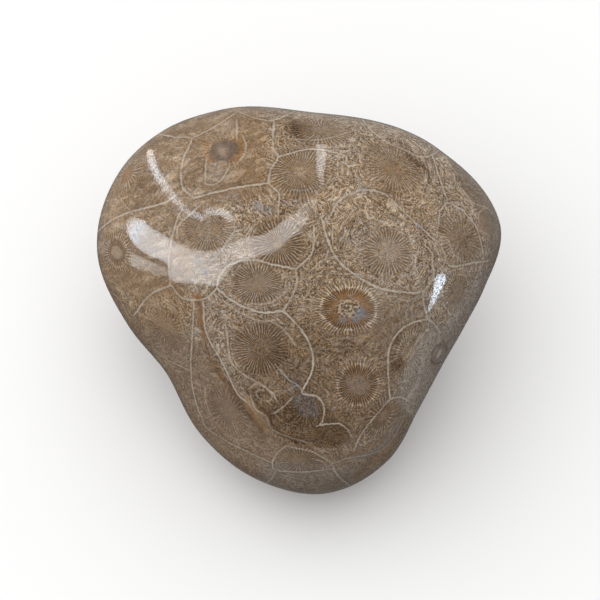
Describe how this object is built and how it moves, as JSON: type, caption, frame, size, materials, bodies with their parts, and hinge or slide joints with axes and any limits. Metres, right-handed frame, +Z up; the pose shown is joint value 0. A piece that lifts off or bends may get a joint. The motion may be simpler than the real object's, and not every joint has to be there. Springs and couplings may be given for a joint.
{
  "type": "polished fossil coral cobble",
  "caption": "Polished hand-sized cobble of fossil colonial coral with rounded lobes, shallow waists between them and a small flat spot that it rests on.",
  "frame": {"origin": "under the middle of the stone's box, on the surface that its flat spot rests on", "axes": "+Z up, +Y towards the upper end of the best face, +X to the right across it; the best face looks forwards and up, along -Y and +Z"},
  "size_m": [0.0774, 0.0722, 0.0519],
  "materials": {
    "polished_coral": "polished"
  },
  "bodies": {
    "root": {"polished_coral": "polished_coral"}
  },
  "joints": []
}
